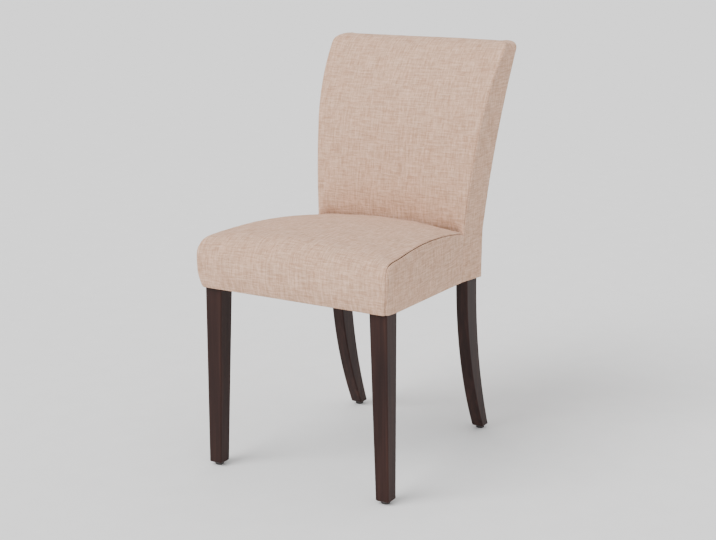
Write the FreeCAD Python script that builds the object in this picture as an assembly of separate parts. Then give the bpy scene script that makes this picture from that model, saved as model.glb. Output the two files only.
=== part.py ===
"""Upholstered dining side chair: a hardwood frame, webbing, padding and sewn covers.

The chair stands on the floor with its front towards -Y, and the origin is on the floor under the
middle of its bounding box. Left and right are the sitter's, so left is +X.
"""
import FreeCAD
import Part
import math
import os

# Driving dimensions in millimetres. Depths are measured backwards from the front of the seat,
# heights upwards from the floor, and widths are whole widths.

# Seat upholstery
seat_seam_height = 513.0      # highest point of the seams along the seat's sides
seat_seam_peak_depth = 150.0  # where those seams are highest
seat_top_radius = 1570.0      # gentle arch of the seat from front to back
seat_crown = 13.0             # rise of the seat's middle above its side seams
seat_front_roll = 35.0        # radius of the rolled front edge
seat_front_swell_height = 42.0  # height above the hem where the front swells most
seat_side_swell = 6.0         # at the front, the sides swell this far past the hem, half way up
seat_seam_swell = 2.0         # and still this far at the seams
seat_rear_swell = 0.3         # share of the side swell that is left where the seat meets the back

# Hem, the lower edge of all the covers
front_hem_width = 457.0
rear_hem_width = 379.0
front_hem_height = 403.0
rear_hem_height = 376.0
front_hem_setback = 9.0       # the hem lies this far behind the front of the seat
seat_knee_reach = 6.0         # the sides run back over the front legs and this far past them
seat_knee_draw = 1.0          # and are drawn in this much by there, before their taper starts
rear_hem_depth = 488.0
hem_turn_under = 24.0

# Back upholstery
back_height = 894.0
back_top_width = 444.0
back_flare_height = 484.0     # the back widens from here up
back_corner_radius = 28.0
back_curve_radius = 1462.0    # hollow of the outside back, seen from the side
back_thickness = 92.0
back_crown = 6.0              # the inside back is thicker by this much along its middle
back_roll_height = 194.0      # the inside back rolls away from this far below the top
back_roll_radius = 415.0
back_nose_height = 15.0       # the last stretch of the roll turns level in this height
back_rear_edge_radius = 10.0

# Layers
cover_thickness = 1.5
wadding_thickness = 6.5
rear_lining_thickness = 3.1
backing_board_thickness = 2.2
burlap_thickness = 0.8
dust_cover_thickness = 0.8
dust_cover_inset = 12.0       # from the hem
soft_gap = 0.3                # between curved layers
leg_hole_clearance = 0.5      # round each leg where it passes the hem

# Legs and posts
glide_height = 7.0
glide_radius = 9.5
glide_edge = 1.5
leg_front_setback = 19.0
front_leg_inset = 4.5         # from the ends of the front hem to the legs' outer faces
front_leg_square = 41.0
front_foot_square = 31.0
front_foot_splay = 3.5        # the feet's outer faces stand this far outside the legs' tops
post_thickness = 28.5
post_depth_at_hem = 47.0
post_depth_at_top = 30.0
post_foot_depth = 27.5
rear_foot_draw = 1.5          # the feet's outer faces stand this far inside the posts'
rear_foot_sweep = 47.5        # the middles of the rear feet stand this far behind the hem
post_top_drop = 30.0          # the posts end this far below the top of the back
leg_edge_radius = 3.0
foot_chamfer = 2.0

# Rails and blocks
rail_thickness = 22.0
rail_height = 62.0
rear_rail_setback = 1.5       # in from the rear faces of the posts
side_rail_setback = 3.0       # in from the outer faces of the front legs
back_rail_thickness = 20.0
top_rail_height = 56.0
top_rail_drop = 4.0           # below the tops of the posts
lower_rail_height = 50.0
lower_rail_middle = 540.0     # height of the middle of the back's lower rail
block_reach = 50.0            # along each rail, from the leg or the post
block_height = 50.0

# Fasteners
dowel_diameter = 8.0
dowel_length = 40.0
dowel_spacing = 28.0
fastener_clearance = 0.15
screw_diameter = 4.0
screw_length = 38.0
screw_head_diameter = 8.0
screw_head_height = 2.5
screw_offset = 28.0           # from the middle of a corner block to each of its screws
bolt_diameter = 8.0
bolt_length = 76.0
bolt_stand_out = 14.0         # of the bolt out of the corner block
washer_diameter = 22.0
washer_thickness = 1.6
nut_width = 13.0
nut_height = 6.5
nail_diameter = 2.4
nail_length = 22.0
nail_head_diameter = 7.0
nail_head_thickness = 1.2
nail_recess = 2.0             # floor to nail head
staple_wire = 1.0
staple_width = 11.0
staple_leg = 7.0

# Webbing
strap_width = 50.0
strap_thickness = 1.6
strap_edge = 4.0              # from the end of a strap to the edge of its rail
lengthwise_straps = 4
lengthwise_pitch = 70.0
crosswise_straps = 4
weave_run = 4.0               # straight stretch of a strap past the edge of the strap it crosses
back_strap_room = 70.0        # least height of the back's opening for each of its straps

# Places that follow from the driving dimensions
hem_slope = (front_hem_height - rear_hem_height) / (rear_hem_depth - front_hem_setback)
seat_length = rear_hem_depth - back_thickness
padding = cover_thickness + wadding_thickness
deck = cover_thickness + rail_height
deck_top = deck + 2 * strap_thickness + burlap_thickness
curve_depth = rear_hem_depth + back_curve_radius
rear_edge_height = back_height - back_rear_edge_radius
rear_edge_depth = curve_depth - math.sqrt(
    (back_curve_radius + back_rear_edge_radius) ** 2 - (rear_edge_height - rear_hem_height) ** 2)
overall_depth = rear_edge_depth + back_rear_edge_radius
reach = back_height
half_span = front_hem_width / 2 + seat_side_swell + padding
corner_height = back_height - back_corner_radius

leg_outer = front_hem_width / 2 - front_leg_inset
leg_inner = leg_outer - front_leg_square
leg_back_depth = leg_front_setback + front_leg_square
front_foot_outer = leg_outer + front_foot_splay
knee_depth = leg_back_depth + seat_knee_reach
knee_half = front_hem_width / 2 - seat_knee_draw
leg_taper = seat_knee_draw / (knee_depth - front_hem_setback)
rail_taper = (knee_half - rear_hem_width / 2) / (seat_length - knee_depth)
front_rail_back = leg_front_setback + rail_thickness
post_outer = rear_hem_width / 2 - padding
post_inner = post_outer - post_thickness
post_rear_depth = rear_hem_depth - padding
post_front_depth = rear_hem_depth - padding - post_depth_at_hem
rear_rail_back = rear_hem_depth - padding - rear_rail_setback
rear_rail_front = rear_rail_back - rail_thickness
post_top = back_height - post_top_drop
rear_foot_outer = post_outer - rear_foot_draw
rear_foot_depth = rear_hem_depth + rear_foot_sweep
rail_start = leg_outer - side_rail_setback
rail_slant = (rail_start - post_outer) / (post_front_depth - leg_back_depth)
rail_width_across = rail_thickness * math.sqrt(1 + rail_slant ** 2)

SIDES = (("left", 1), ("right", -1))
FEET = (("front", front_foot_outer - front_foot_square / 2,
         leg_front_setback + front_foot_square / 2),
        ("rear", rear_foot_outer - post_thickness / 2, rear_foot_depth))
BACK_RAILS = ((post_top - top_rail_drop - top_rail_height / 2, top_rail_height),
              (lower_rail_middle, lower_rail_height))
UP = FreeCAD.Vector(0, 0, 1)
DECK_NORMAL = FreeCAD.Vector(0, hem_slope, 1).normalize()
DOWN_THE_DECK = FreeCAD.Vector(0, 1, -hem_slope).normalize()
ACROSS = FreeCAD.Vector(1, 0, 0)
BACKWARDS = FreeCAD.Vector(0, 1, 0)


def hem(depth):
    """Height of the sloping hem plane at a depth."""
    return front_hem_height - (depth - front_hem_setback) * hem_slope


def wall(depth):
    """Half the width of the seat's upholstery along the hem."""
    past = depth - knee_depth
    return knee_half - past * (rail_taper if past > 0 else leg_taper)


def rail_outer(depth):
    """Distance of a side rail's outer face from the middle of the chair."""
    return rail_start - (depth - leg_back_depth) * rail_slant


def rail_inner(depth):
    """Distance of a side rail's inner face from the middle of the chair."""
    return rail_outer(depth) - rail_width_across


def side_line(height, inset):
    """Half the width of the back at a height, drawn in by an inset."""
    share = max(height - back_flare_height, 0) / (corner_height - back_flare_height)
    return rear_hem_width / 2 + share * (back_top_width - rear_hem_width) / 2 - inset


def on_rear_circle(height, inset):
    """Depth of the outside back at a height, drawn in by an inset."""
    radius = back_curve_radius + inset
    return curve_depth - math.sqrt(radius ** 2 - (height - rear_hem_height) ** 2)


post_top_front = on_rear_circle(post_top, padding) - post_depth_at_top
post_front_rise = post_top - rear_hem_height
post_front_run = post_top_front - post_front_depth
post_front_radius = (post_front_rise ** 2 + post_front_run ** 2) / (2 * post_front_run)


def post_front(height, clearance=0.0):
    """Depth of the front face of the back posts at a height, or of a face in front of it."""
    radius = post_front_radius + clearance
    rise = height - rear_hem_height
    return post_front_depth + post_front_radius - math.sqrt(radius ** 2 - rise ** 2)


def at(x, depth, height):
    """Point of the model from its width, depth and height."""
    return FreeCAD.Vector(x, depth - overall_depth / 2, height)


def outline(start, *steps):
    """Closed wire: a step is a point to draw a line to, or a pair of points to draw an arc to."""
    edges = []
    here = start
    for step in steps:
        if isinstance(step, tuple):
            edges.append(Part.Arc(here, step[0], step[1]).toShape())
            here = step[1]
        else:
            edges.append(Part.LineSegment(here, step).toShape())
            here = step
    if here.distanceToPoint(start) > 1e-6:
        edges.append(Part.LineSegment(here, start).toShape())
    return Part.Wire(edges)


def prism(wire, vector):
    """Solid swept by a flat closed wire along a vector."""
    return Part.Face(wire).extrude(vector)


def side_prism(corners, low, high):
    """Prism between two widths from corners given as depth and height."""
    wire = outline(*[at(low, depth, height) for depth, height in corners])
    return prism(wire, ACROSS * (high - low))


def front_prism(corners, low, high):
    """Prism between two depths from corners given as width and height."""
    wire = outline(*[at(x, low, height) for x, height in corners])
    return prism(wire, BACKWARDS * (high - low))


def plan_prism(corners, low, high):
    """Prism between two heights from corners given as width and depth."""
    wire = outline(*[at(x, depth, low) for x, depth in corners])
    return prism(wire, UP * (high - low))


def layer(low, high):
    """Slab parallel to the hem, between two heights above it."""
    corners = [(-reach, hem(-reach) + low), (reach, hem(reach) + low),
               (reach, hem(reach) + high), (-reach, hem(-reach) + high)]
    return side_prism(corners, -reach, reach)


def in_layer(corners, low, high):
    """Piece of a slab parallel to the hem, cut to an outline seen from above."""
    return plan_prism(corners, 0, back_height).common(layer(low, high))


def both_halves(corners):
    """Outline made whole from its half on the sitter's left."""
    return corners + [(-x, other) for x, other in reversed(corners)]


def to_side(corners, side):
    """Outline drawn for the sitter's left, on the side that is asked for."""
    return [(side * x, other) for x, other in corners]


def joined(pieces):
    """Pieces that touch or overlap, made into one solid."""
    return pieces[0].multiFuse(pieces[1:]).removeSplitter()


def back_section(x, inset):
    """Side outline of the back at a distance from its middle, drawn in all round by an inset."""
    centre = at(x, curve_depth, rear_hem_height)
    share = 1 - (2 * x / back_top_width) ** 2
    front_radius = back_curve_radius + back_thickness + back_crown * share

    def turned(middle, radius, angle):
        return middle + FreeCAD.Vector(0, -math.cos(angle), math.sin(angle)) * radius

    main_end = math.asin((back_height - back_roll_height - rear_hem_height) / front_radius)
    roll_centre = turned(centre, front_radius - back_roll_radius, main_end)
    roll_rise = back_height - back_nose_height - roll_centre.z
    roll_end = math.asin(roll_rise / back_roll_radius)
    nose_radius = back_nose_height / (1 - math.sin(roll_end))
    nose_centre = turned(roll_centre, back_roll_radius - nose_radius, roll_end)
    edge_centre = at(x, rear_edge_depth, rear_edge_height)
    edge_radius = max(back_rear_edge_radius - inset, soft_gap)
    edge_start = math.atan2(edge_centre.z - centre.z, centre.y - edge_centre.y)

    front_low_height = hem(curve_depth - front_radius) + inset
    front_low_angle = math.asin((front_low_height - rear_hem_height) / (front_radius - inset))
    rear_low_angle = math.asin(inset / (back_curve_radius + inset))

    def arc_on(middle, radius, first, last):
        return (turned(middle, radius, (first + last) / 2), turned(middle, radius, last))

    main = front_radius - inset
    rear = back_curve_radius + inset
    edge_top = edge_centre + FreeCAD.Vector(0, 0, edge_radius)
    edge_middle = turned(edge_centre, edge_radius, (math.pi / 2 + math.pi + edge_start) / 2)
    return outline(
        turned(centre, main, front_low_angle),
        arc_on(centre, main, front_low_angle, main_end),
        arc_on(roll_centre, back_roll_radius - inset, main_end, roll_end),
        arc_on(nose_centre, nose_radius - inset, roll_end, math.pi / 2),
        edge_top,
        (edge_middle, turned(edge_centre, edge_radius, math.pi + edge_start)),
        arc_on(centre, rear, edge_start, rear_low_angle))


def back_body(inset):
    """The back's side outline carried across, wider than the chair."""
    places = [half_span * share for share in (-1, -0.5, 0, 0.5, 1)]
    return Part.makeLoft([back_section(x, inset) for x in places], True)


def back_form(inset):
    """Whole upholstered back down to the hem, drawn in all round by an inset."""
    radius = max(back_corner_radius - inset, soft_gap)
    slack = radius * (1 - math.sqrt(0.5))
    base = side_line(0, inset)
    top = side_line(corner_height, inset)
    bottom = rear_hem_height - reach / 2
    level = back_height - inset + soft_gap
    wire = outline(
        at(-base, 0, bottom), at(base, 0, bottom), at(base, 0, back_flare_height),
        at(top, 0, level - radius),
        (at(top - slack, 0, level - slack), at(top - radius, 0, level)),
        at(radius - top, 0, level),
        (at(slack - top, 0, level - slack), at(-top, 0, level - radius)),
        at(-base, 0, back_flare_height))
    return back_body(inset).common(prism(wire, BACKWARDS * reach))


def seat_section(x, inset):
    """Side outline of the seat at a distance from its middle, drawn in by an inset."""
    lift = seat_crown * (1 - (2 * x / front_hem_width) ** 2)
    top_centre = (seat_seam_peak_depth, seat_seam_height + lift - seat_top_radius)
    roll_rise = math.sqrt((seat_top_radius - seat_front_roll) ** 2
                          - (seat_seam_peak_depth - seat_front_roll) ** 2)
    roll_centre = (seat_front_roll, top_centre[1] + roll_rise)
    swell_radius = (seat_front_swell_height ** 2 + front_hem_setback ** 2) / 2 / front_hem_setback
    swell_height = front_hem_height + seat_front_swell_height
    swell_centre = (swell_radius, swell_height)

    def turned(centre, radius, angle):
        return at(x, centre[0] - radius * math.cos(angle), centre[1] + radius * math.sin(angle))

    low_angle = math.asin((front_hem_height + inset - swell_height) / (swell_radius - inset))
    roll_end = math.atan2(roll_rise, seat_seam_peak_depth - seat_front_roll)
    rear = post_front_depth
    top_radius = seat_top_radius - inset
    rear_angle = math.pi - math.acos((rear - seat_seam_peak_depth) / top_radius)
    return outline(
        turned(swell_centre, swell_radius - inset, low_angle),
        (turned(swell_centre, swell_radius - inset, low_angle / 2), at(x, inset, swell_height)),
        at(x, inset, roll_centre[1]),
        (turned(roll_centre, seat_front_roll - inset, roll_end / 2),
         turned(roll_centre, seat_front_roll - inset, roll_end)),
        (turned(top_centre, top_radius, (roll_end + rear_angle) / 2),
         turned(top_centre, top_radius, rear_angle)),
        at(x, rear, hem(rear) + inset))


def seat_walls(inset):
    """Block with the seat's drawn-in sides, larger than the seat in every other direction."""
    middle = (seat_seam_height - front_hem_height) / 2
    rear = post_front_depth + padding
    sections = []
    for rise in (-padding, middle, 2 * middle + 3 * seat_crown):
        share = rise / middle - 1
        swell = (seat_side_swell + seat_seam_swell * share / 2
                 + (seat_seam_swell / 2 - seat_side_swell) * share ** 2)
        corners = []
        for depth in (-2 * padding, knee_depth, rear):
            fade = 1 - (1 - seat_rear_swell) * max(depth, 0) / rear
            corners.append((wall(depth) + swell * fade - inset, depth))
        sections.append(outline(*[at(width, depth, hem(depth) + rise)
                                  for width, depth in both_halves(corners)]))
    return Part.makeLoft(sections, True)


def seat_form(inset):
    """Whole upholstered seat, drawn in all round by an inset, up against the back."""
    places = [half_span * share for share in (-1, -0.5, 0, 0.5, 1)]
    body = Part.makeLoft([seat_section(x, inset) for x in places], True)
    return body.common(seat_walls(inset)).cut(back_body(-soft_gap - inset))


def rod(start, direction, length, diameter, clearance=0.0):
    """Round bar from a point along a direction, or the hole for it."""
    return Part.makeCylinder(diameter / 2 + clearance, length + 2 * clearance,
                             start - direction * clearance, direction)


def drilled(piece, holes):
    """Piece without the holes that reach into it."""
    near = [hole for hole in holes if hole.BoundBox.intersect(piece.BoundBox)]
    return piece.cut(near) if near else piece


def front_leg(side):
    """Front leg: square in the seat frame, tapered on its two inner faces below the hem."""
    taper_top = front_hem_height - cover_thickness
    foot_inner = front_foot_outer - front_foot_square
    foot_back = leg_front_setback + front_foot_square
    front_view = [(front_foot_outer, glide_height), (leg_outer, taper_top),
                  (leg_inner, taper_top), (foot_inner, glide_height)]
    side_view = [(leg_front_setback, glide_height), (leg_front_setback, taper_top),
                 (leg_back_depth, taper_top), (foot_back, glide_height)]
    tapered = side_prism(side_view, -half_span, half_span).common(
        front_prism(to_side(front_view, side), 0, 2 * leg_back_depth))
    long_edges = [edge for edge in tapered.Edges if edge.Length > front_hem_height / 2]
    tapered = tapered.makeFillet(leg_edge_radius, long_edges)
    tapered = chamfered_foot(tapered)
    square = [(leg_outer, leg_front_setback), (leg_outer, leg_back_depth),
              (leg_inner, leg_back_depth), (leg_inner, leg_front_setback)]
    upper = plan_prism(to_side(square, side), taper_top, back_height).common(layer(-padding, deck))
    return joined([tapered, upper])


def chamfered_foot(leg):
    """Leg with its lowest edges chamfered, so that they don't splinter on the floor."""
    low = [edge for edge in leg.Edges if edge.BoundBox.ZMax < glide_height + foot_chamfer / 2]
    return leg.makeChamfer(foot_chamfer, low)


def post_lines(height):
    """Outer and inner lines of the left post at a height above the hem, seen from the front."""
    outer = side_line(height, padding)
    return outer, outer - post_thickness


def rear_post(side):
    """Rear leg and back post in one board: swept back below the seat, curved back above it."""
    half_foot = post_foot_depth / 2
    foot_front = rear_foot_depth - half_foot
    foot_rear = rear_foot_depth + half_foot
    middle = (glide_height + rear_hem_height) / 2
    front_middle = post_front_depth + (foot_front - post_front_depth) / 4
    rear_middle = post_rear_depth + (foot_rear - post_rear_depth) / 4
    leg_side = outline(
        at(-half_span, foot_rear, glide_height),
        (at(-half_span, rear_middle, middle), at(-half_span, post_rear_depth, rear_hem_height)),
        at(-half_span, post_front_depth, rear_hem_height),
        (at(-half_span, front_middle, middle), at(-half_span, foot_front, glide_height)))
    leg_front = [(rear_foot_outer, glide_height), (post_outer, rear_hem_height),
                 (post_inner, rear_hem_height), (rear_foot_outer - post_thickness, glide_height)]
    leg = prism(leg_side, ACROSS * 2 * half_span).common(
        front_prism(to_side(leg_front, side), 0, reach))
    long_edges = [edge for edge in leg.Edges if edge.Length > rear_hem_height / 2]
    leg = chamfered_foot(leg.makeFillet(leg_edge_radius, long_edges))

    rise = (rear_hem_height + post_top) / 2
    post_side = outline(
        at(-half_span, post_rear_depth, rear_hem_height),
        (at(-half_span, on_rear_circle(rise, padding), rise),
         at(-half_span, on_rear_circle(post_top, padding), post_top)),
        at(-half_span, post_front(post_top), post_top),
        (at(-half_span, post_front(rise), rise),
         at(-half_span, post_front_depth, rear_hem_height)))
    top_outer, top_inner = post_lines(post_top)
    post_front_view = [(post_outer, rear_hem_height), (post_outer, back_flare_height),
                       (top_outer, post_top), (top_inner, post_top),
                       (post_inner, back_flare_height), (post_inner, rear_hem_height)]
    post = prism(post_side, ACROSS * 2 * half_span).common(
        front_prism(to_side(post_front_view, side), 0, reach))
    return joined([leg, post])


def side_rail(side):
    """Side rail from the rear face of the front leg to the front face of the post."""
    corners = [(rail_outer(leg_back_depth), leg_back_depth),
               (rail_outer(post_front_depth), post_front_depth),
               (rail_inner(post_front_depth), post_front_depth),
               (rail_inner(leg_back_depth), leg_back_depth)]
    return in_layer(to_side(corners, side), cover_thickness, deck)


def cross_rail(half_length, front, rear):
    """Front or rear rail of the seat frame."""
    corners = both_halves([(half_length, front), (half_length, rear)])
    return in_layer(corners, cover_thickness, deck)


def back_rail(middle, height):
    """Rail between the back posts, leaning with them, its front face flush with theirs."""
    lean = math.asin((middle - rear_hem_height) / post_front_radius)
    slab = Part.makeBox(2 * half_span, back_rail_thickness, height,
                        FreeCAD.Vector(-half_span, 0, -height / 2))
    slab.rotate(FreeCAD.Vector(), ACROSS, -math.degrees(lean))
    slab.translate(at(0, post_front(middle), middle))
    low = middle - height
    high = middle + height
    corners = [(post_lines(low)[1], low)]
    if low < back_flare_height < high:
        corners.append((post_inner, back_flare_height))
    corners.append((post_lines(high)[1], high))
    return slab.common(front_prism(both_halves(corners), 0, reach))


class CornerBlock:
    """Glue block across a corner of the seat frame, with the line that its fasteners follow."""

    def __init__(self, corner, side):
        if corner == "front":
            first = (leg_inner - block_reach, front_rail_back)
            notch = [(leg_inner, front_rail_back), (leg_inner, leg_back_depth),
                     (rail_inner(leg_back_depth), leg_back_depth)]
            far = leg_back_depth + block_reach
        else:
            first = (post_inner - block_reach, rear_rail_front)
            notch = [(post_inner, rear_rail_front), (post_inner, post_front_depth),
                     (rail_inner(post_front_depth), post_front_depth)]
            far = post_front_depth - block_reach
        last = (rail_inner(far), far)
        low = (deck + cover_thickness - block_height) / 2
        self.solid = in_layer(to_side([first] + notch + [last], side), low, low + block_height)
        self.side = side
        self.middle = ((first[0] + last[0]) / 2, (first[1] + last[1]) / 2)
        along = (last[0] - first[0], last[1] - first[1])
        length = math.hypot(*along)
        self.along = (along[0] / length, along[1] / length)
        turn = 1 if corner == "front" else -1
        self.inward = FreeCAD.Vector(side * turn * self.along[1], -turn * self.along[0], 0)

    def spot(self, offset, stand_out=0.0):
        """Point on the block's open face, beside its middle, or in front of that face."""
        x = self.middle[0] + offset * self.along[0]
        depth = self.middle[1] + offset * self.along[1]
        height = hem(depth) + (deck + cover_thickness) / 2
        return at(self.side * x, depth, height) - self.inward * stand_out


def screw(block, offset, clearance=0.0):
    """Corner block screw with its head on the block, or the hole for it."""
    start = block.spot(offset)
    shank = rod(start, block.inward, screw_length, screw_diameter, clearance)
    if clearance:
        return shank
    head = rod(block.spot(offset, screw_head_height), block.inward, screw_head_height,
               screw_head_diameter)
    return joined([head, shank])


def leg_bolt(block, clearance=0.0):
    """Bolt through a front corner block into its leg, or the hole for it."""
    return rod(block.spot(0, bolt_stand_out), block.inward, bolt_length, bolt_diameter, clearance)


def bolt_washer(block):
    """Washer on the corner block, round the bolt."""
    disc = rod(block.spot(0, washer_thickness), block.inward, washer_thickness, washer_diameter)
    return disc.cut(leg_bolt(block, fastener_clearance))


def bolt_nut(block):
    """Hexagon nut on the washer."""
    corner = nut_width / math.sqrt(3)
    turns = [math.radians(60 * step) for step in range(7)]
    ring = [FreeCAD.Vector(corner * math.cos(turn), corner * math.sin(turn), 0) for turn in turns]
    nut = Part.Face(Part.makePolygon(ring)).extrude(UP * nut_height)
    turn = FreeCAD.Rotation(UP, block.inward)
    nut.Placement = FreeCAD.Placement(block.spot(0, washer_thickness + nut_height), turn)
    return nut.cut(leg_bolt(block, fastener_clearance))


def rail_dowels():
    """Start and direction of every dowel of the frame, half of each in either piece."""
    spots = []
    steps = (-dowel_spacing / 2, dowel_spacing / 2)
    half = dowel_length / 2
    seat_middle = (deck + cover_thickness) / 2
    front_middle = (leg_front_setback + front_rail_back) / 2
    rear_middle = (rear_rail_front + rear_rail_back) / 2
    for side in (1, -1):
        for step in steps:
            for inner, depth in ((leg_inner, front_middle), (post_inner, rear_middle)):
                start = at(side * (inner - half), depth, hem(depth) + seat_middle + step)
                spots.append((start, ACROSS * side))
            for depth in (leg_back_depth, post_front_depth):
                x = side * (rail_outer(depth) + rail_inner(depth)) / 2
                start = at(x, depth - half, hem(depth) + seat_middle + step)
                spots.append((start, BACKWARDS))
            for middle, height in BACK_RAILS:
                height_here = middle + step * height / rail_height
                lean = math.asin((middle - rear_hem_height) / post_front_radius)
                depth = (post_front(middle) + back_rail_thickness / 2 * math.cos(lean)
                         + (height_here - middle) * math.tan(lean))
                x = side * (post_lines(height_here)[1] - half)
                spots.append((at(x, depth, height_here), ACROSS * side))
    return spots


def glide(x, depth):
    """Round glide under a foot, with the recess for its nail."""
    body = rod(at(x, depth, 0), UP, glide_height, 2 * glide_radius)
    low = [edge for edge in body.Edges if edge.BoundBox.ZMax < glide_edge]
    body = body.makeChamfer(glide_edge, low)
    recess = rod(at(x, depth, 0), UP, nail_recess + nail_head_thickness, nail_head_diameter,
                 fastener_clearance)
    return body.cut(recess).cut(glide_nail(x, depth, fastener_clearance))


def glide_nail(x, depth, clearance=0.0):
    """Nail up through a glide into its leg, or the hole for its shank."""
    base = at(x, depth, nail_recess)
    shank = rod(base, UP, nail_length, nail_diameter, clearance)
    if clearance:
        return shank
    return joined([rod(base, UP, nail_head_thickness, nail_head_diameter), shank])


def staple(spot, along, outward, clearance=0.0):
    """Wire staple with its crown on a surface and its legs in it, or the holes for its legs."""
    wire = staple_wire + 2 * clearance
    turn = FreeCAD.Rotation(along, FreeCAD.Vector(), outward, "ZXY")
    half = (staple_width - staple_wire) / 2
    legs = [Part.makeBox(wire, wire, staple_leg + wire / 2,
                         FreeCAD.Vector(place - wire / 2, -wire / 2, -staple_leg - clearance))
            for place in (-half, half)]
    pieces = legs
    if not clearance:
        crown = Part.makeBox(staple_width, staple_wire, staple_wire,
                             FreeCAD.Vector(-staple_width / 2, -staple_wire / 2, 0))
        pieces = [joined([crown] + legs)]
    for piece in pieces:
        piece.Placement = FreeCAD.Placement(spot, turn)
    return pieces


def spread(low, high, count):
    """Middles of straps that are spread evenly between two edges."""
    gap = (high - low - count * strap_width) / (count + 1)
    return [low + gap + strap_width / 2 + step * (gap + strap_width) for step in range(count)]


def cross_depths():
    """Depths of the straps that run from side to side."""
    return spread(front_rail_back, rear_rail_front, crosswise_straps)


def long_places():
    """Widths at which the straps that run from front to back lie."""
    first = -(lengthwise_straps - 1) * lengthwise_pitch / 2
    return [first + step * lengthwise_pitch for step in range(lengthwise_straps)]


def crosswise_strap(depth):
    """Flat strap between the side rails."""
    front = depth - strap_width / 2
    rear = depth + strap_width / 2
    corners = both_halves([(rail_outer(front) - strap_edge, front),
                           (rail_outer(rear) - strap_edge, rear)])
    return in_layer(corners, deck, deck + strap_thickness)


def lengthwise_strap(x, turn):
    """Strap from front to rear rail, over and under the crosswise straps in turn."""
    front = leg_front_setback + strap_edge
    rear = rear_rail_back - strap_edge
    past = strap_width / 2 + weave_run
    line = [(front, 0), (front_rail_back, 0)]
    for count, depth in enumerate(cross_depths()):
        rise = strap_thickness if (count + turn) % 2 else -strap_thickness
        line += [(depth - past, rise), (depth + past, rise)]
    line += [(rear_rail_front, 0), (rear, 0)]
    low = [(depth, hem(depth) + deck + rise) for depth, rise in line]
    high = [(depth, height + strap_thickness) for depth, height in reversed(low)]
    return side_prism(low + high, x - strap_width / 2, x + strap_width / 2)


def leaning(height):
    """Placement on the front faces of the posts at a height, with Z up along them."""
    lean = math.asin((height - rear_hem_height) / post_front_radius)
    turn = FreeCAD.Rotation(ACROSS, -math.degrees(lean))
    return FreeCAD.Placement(at(0, post_front(height, soft_gap), height), turn)


def back_strap(height):
    """Strap from post to post across the front of the back frame."""
    half = post_lines(height - strap_width)[0] - strap_edge
    strap = Part.makeBox(2 * half, strap_thickness, strap_width,
                         FreeCAD.Vector(-half, -strap_thickness, -strap_width / 2))
    strap.Placement = leaning(height)
    return strap


def seat_staple_spots():
    """Spot and direction of the crown of every staple in the seat webbing."""
    spots = []
    quarter = strap_width / 4
    inward = rail_thickness / 2
    top = deck + strap_thickness
    for x in long_places():
        for depth in (leg_front_setback + inward, rear_rail_back - inward):
            for place in (x - quarter, x + quarter):
                spots.append((at(place, depth, hem(depth) + top), ACROSS))
    for depth in cross_depths():
        for side in (1, -1):
            for place in (depth - quarter, depth + quarter):
                x = side * (rail_outer(place) - inward)
                spots.append((at(x, place, hem(place) + top), DOWN_THE_DECK))
    return spots


def back_staple_spots():
    """Spot and direction of the crown of every staple in the back webbing."""
    spots = []
    for height in back_strap_heights():
        half = post_lines(height)[0] - post_thickness / 2
        for side in (1, -1):
            for rise in (-strap_width / 4, strap_width / 4):
                here = FreeCAD.Vector(side * half, -strap_thickness, rise)
                spots.append((leaning(height).multVec(here), height))
    return spots


def back_strap_heights():
    """Heights of the middles of the back's straps."""
    low = lower_rail_middle + lower_rail_height / 2
    high = post_top - top_rail_drop - top_rail_height
    return spread(low, high, int((high - low) / back_strap_room))


def frame_outline():
    """Outline of the seat frame seen from above."""
    return both_halves([(leg_outer, leg_front_setback), (leg_outer, leg_back_depth),
                        (rail_start, leg_back_depth), (post_outer, post_front_depth),
                        (post_outer, post_rear_depth)])


def hem_outline(inset):
    """Outline of the hem seen from above, drawn in by an inset."""
    front = front_hem_setback + inset
    return both_halves([(wall(front) - inset, front), (knee_half - inset, knee_depth),
                        (wall(seat_length) - inset, seat_length),
                        (rear_hem_width / 2 - inset, rear_hem_depth - inset)])


def leg_holes():
    """Room for the four legs where they pass through the hem and the dust cover."""
    gap = leg_hole_clearance
    holes = []
    for inner, outer, front, rear in ((leg_inner, leg_outer, leg_front_setback, leg_back_depth),
                                      (post_inner, post_outer, post_front_depth, post_rear_depth)):
        corners = [(inner - gap, front - gap), (outer + gap, front - gap),
                   (outer + gap, rear + gap), (inner - gap, rear + gap)]
        for _, side in SIDES:
            holes.append(in_layer(to_side(corners, side), -padding, cover_thickness + soft_gap))
    return holes


def burlap():
    """Cloth over the seat webbing, notched round the back posts."""
    edge = strap_edge
    corners = both_halves([(leg_outer - edge, leg_front_setback + edge),
                           (leg_outer - edge, leg_back_depth),
                           (rail_outer(post_front_depth) - edge, post_front_depth - edge),
                           (post_inner - edge, post_front_depth - edge),
                           (post_inner - edge, rear_rail_back - edge)])
    return in_layer(corners, deck + 2 * strap_thickness, deck_top)


def seat_foam():
    """Foam block on the burlap."""
    return seat_form(padding + soft_gap).cut(layer(-reach, deck_top))


def seat_wadding():
    """Soft layer over the foam and down over the outside of the rails."""
    foam_room = seat_form(padding).cut(layer(-reach, deck))
    frame_room = in_layer(frame_outline(), cover_thickness, deck_top + soft_gap)
    return seat_form(cover_thickness + soft_gap).cut(foam_room).cut(frame_room)


def behind(inset, top):
    """Everything behind a line that is drawn in from the outside back, up to a height."""
    low = rear_hem_height - 2 * padding
    middle = (low + top) / 2
    wire = outline(at(-reach, on_rear_circle(low, inset), low),
                   (at(-reach, on_rear_circle(middle, inset), middle),
                    at(-reach, on_rear_circle(top, inset), top)),
                   at(-reach, reach, top), at(-reach, reach, low))
    return prism(wire, ACROSS * 2 * reach)


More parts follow.
